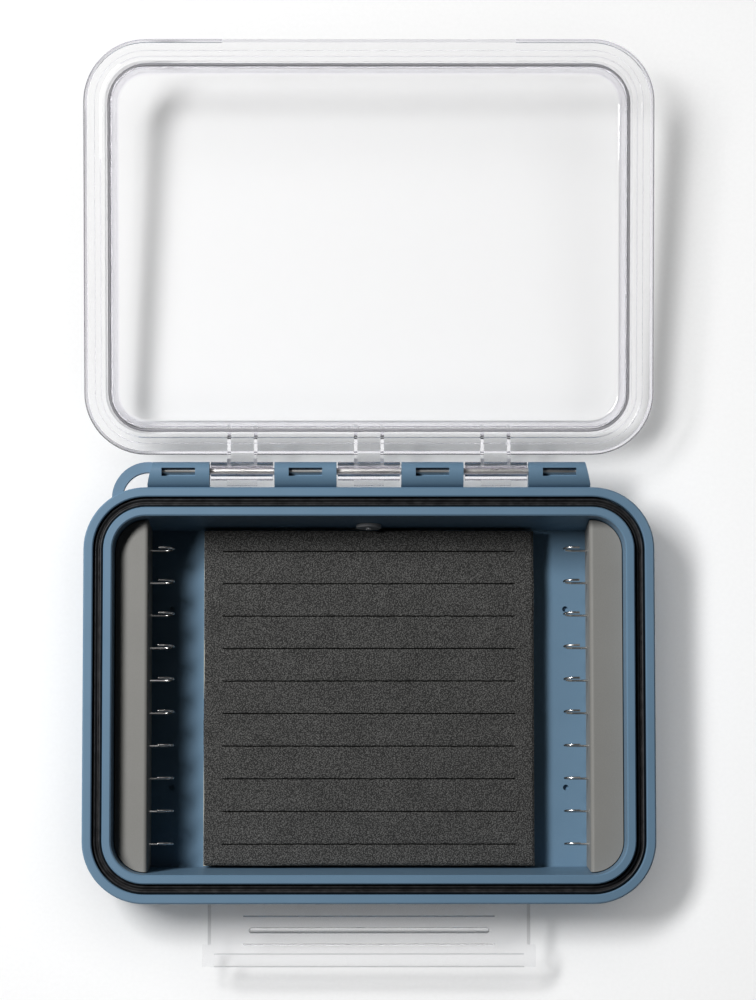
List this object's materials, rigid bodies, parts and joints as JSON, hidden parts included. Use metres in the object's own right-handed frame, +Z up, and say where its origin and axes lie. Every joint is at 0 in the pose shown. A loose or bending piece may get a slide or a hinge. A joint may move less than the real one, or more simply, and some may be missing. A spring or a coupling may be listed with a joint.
{
  "type": "fly box",
  "caption": "Gasketed fishing-fly box lying open: blue tray with slit foam pad and side rails of wire hooks, clear hinged lid and clear front latch.",
  "frame": {"origin": "centre of the base's underside", "axes": "+X along the hinge, to the right as seen from the latch; +Y from the latch to the hinge and the open lid; +Z up out of the tray"},
  "size_m": [0.165, 0.2669, 0.0459],
  "materials": {
    "tray_plastic": "fine satin, slate blue",
    "clear_plastic": "polished, water clear",
    "seal_rubber": "soft, black",
    "steel_wire": "drawn wire",
    "foam": "open-cell foam, charcoal",
    "adhesive": "transfer tape",
    "rail_plastic": "satin, warm grey",
    "vent_rubber": "soft, light grey"
  },
  "bodies": {
    "base": {"base_shell": "tray_plastic", "seal_ring": "seal_rubber", "lid_hinge_pin": "steel_wire", "latch_pin": "steel_wire", "foam_pad": "foam", "foam_adhesive": "adhesive", "left_hook_rail": "rail_plastic", "right_hook_rail": "rail_plastic", "vent_plug": "vent_rubber", "left_hook_01": "steel_wire", "left_hook_02": "steel_wire", "left_hook_03": "steel_wire", "left_hook_04": "steel_wire", "left_hook_05": "steel_wire", "left_hook_06": "steel_wire", "left_hook_07": "steel_wire", "left_hook_08": "steel_wire", "left_hook_09": "steel_wire", "left_hook_10": "steel_wire", "right_hook_01": "steel_wire", "right_hook_02": "steel_wire", "right_hook_03": "steel_wire", "right_hook_04": "steel_wire", "right_hook_05": "steel_wire", "right_hook_06": "steel_wire", "right_hook_07": "steel_wire", "right_hook_08": "steel_wire", "right_hook_09": "steel_wire", "right_hook_10": "steel_wire"},
    "lid": {"lid_shell": "clear_plastic"},
    "latch": {"latch": "clear_plastic"}
  },
  "joints": [
    {"name": "lid_hinge", "type": "hinge", "parent": "base", "child": "lid", "pos_m": [0, 0.0647, 0.029], "axis": [1, 0, 0], "range_deg": [0, 172]},
    {"name": "latch_hinge", "type": "hinge", "parent": "base", "child": "latch", "pos_m": [0, -0.058, 0.0185], "axis": [-1, 0, 0], "range_deg": [0, 90]}
  ]
}
